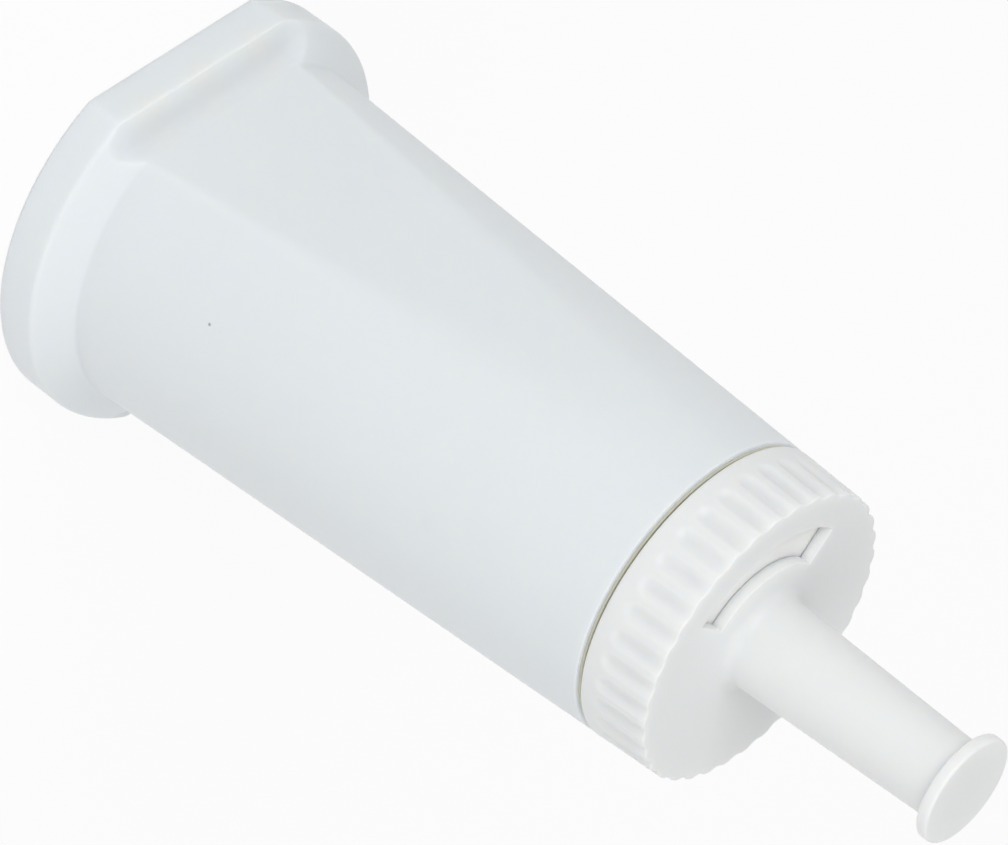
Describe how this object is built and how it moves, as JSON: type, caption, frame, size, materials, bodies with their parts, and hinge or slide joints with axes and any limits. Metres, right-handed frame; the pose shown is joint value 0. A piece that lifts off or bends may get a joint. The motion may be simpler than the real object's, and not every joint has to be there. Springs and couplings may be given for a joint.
{
  "type": "coffee machine water filter",
  "caption": "Tapered white filter cartridge with a flanged foot with two flats, a knurled turning date cap with a window, and a handle stem with an end disc.",
  "frame": {"origin": "centre of the flange's foot, on the surface that it stands on", "axes": "+Z along the cartridge's axis towards the end disc of the stem, -Y out of the flat that the picture shows, +X to the right when that flat is seen from the front"},
  "size_m": [0.055, 0.0486, 0.1251],
  "materials": {
    "housing_plastic": "fine satin moulded polypropylene, slightly cool white",
    "cap_plastic": "fine satin moulded polypropylene, neutral white",
    "inner_plastic": "plain moulded polypropylene",
    "seal_rubber": "soft matte silicone",
    "fleece": "pressed non-woven fibre",
    "resin": "bed of small amber beads",
    "carbon": "bed of fine black granules"
  },
  "bodies": {
    "cartridge": {"housing": "housing_plastic", "base_plate": "inner_plastic", "outlet_seal": "seal_rubber", "riser_tube": "inner_plastic", "lower_fleece": "fleece", "resin_bed": "resin", "divider_fleece": "fleece", "carbon_bed": "carbon", "upper_fleece": "fleece"},
    "dial": {"dial_cap": "cap_plastic"}
  },
  "joints": [
    {"name": "dial_turn", "type": "hinge", "parent": "cartridge", "child": "dial", "pos_m": [0, 0, 0.0935], "axis": [0, 0, 1], "continuous": true}
  ]
}
